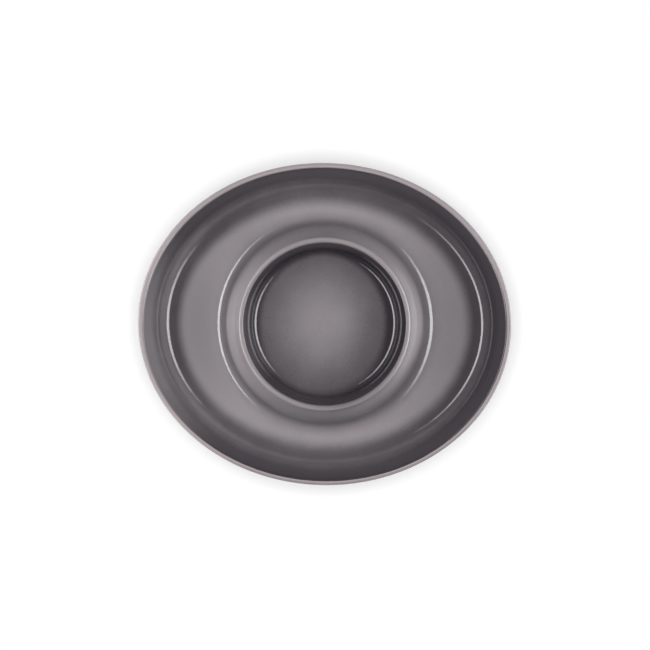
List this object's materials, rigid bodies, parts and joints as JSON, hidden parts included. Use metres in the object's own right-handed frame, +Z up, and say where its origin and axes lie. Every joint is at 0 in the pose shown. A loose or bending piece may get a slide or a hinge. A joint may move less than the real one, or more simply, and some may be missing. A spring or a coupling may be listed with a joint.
{
  "type": "chip and dip platter",
  "caption": "Oval glazed stoneware serving platter with a round dip bowl raised in the middle of a trough for chips, standing on foot rings.",
  "frame": {"origin": "on the table, below the middle of the dip bowl and of the oval rim", "axes": "+X along the length of the oval, +Y across it, +Z up out of the bowl"},
  "size_m": [0.368, 0.318, 0.058],
  "materials": {
    "bare_stoneware": "fired, unglazed, ground on the foot rings",
    "bowl_glaze": "glossy grey glaze, darker on the bowl's wall",
    "trough_glaze": "glossy grey glaze, darker towards the outer wall and the foot of the ring wall",
    "rim_glaze": "paler warm grey glaze",
    "underside_glaze": "plain grey glaze"
  },
  "bodies": {
    "root": {"stoneware_body": "bare_stoneware", "bowl_glaze": "bowl_glaze", "trough_glaze": "trough_glaze", "rim_and_wall_glaze": "rim_glaze", "underside_glaze": "underside_glaze", "bowl_base_glaze": "underside_glaze"}
  },
  "joints": []
}
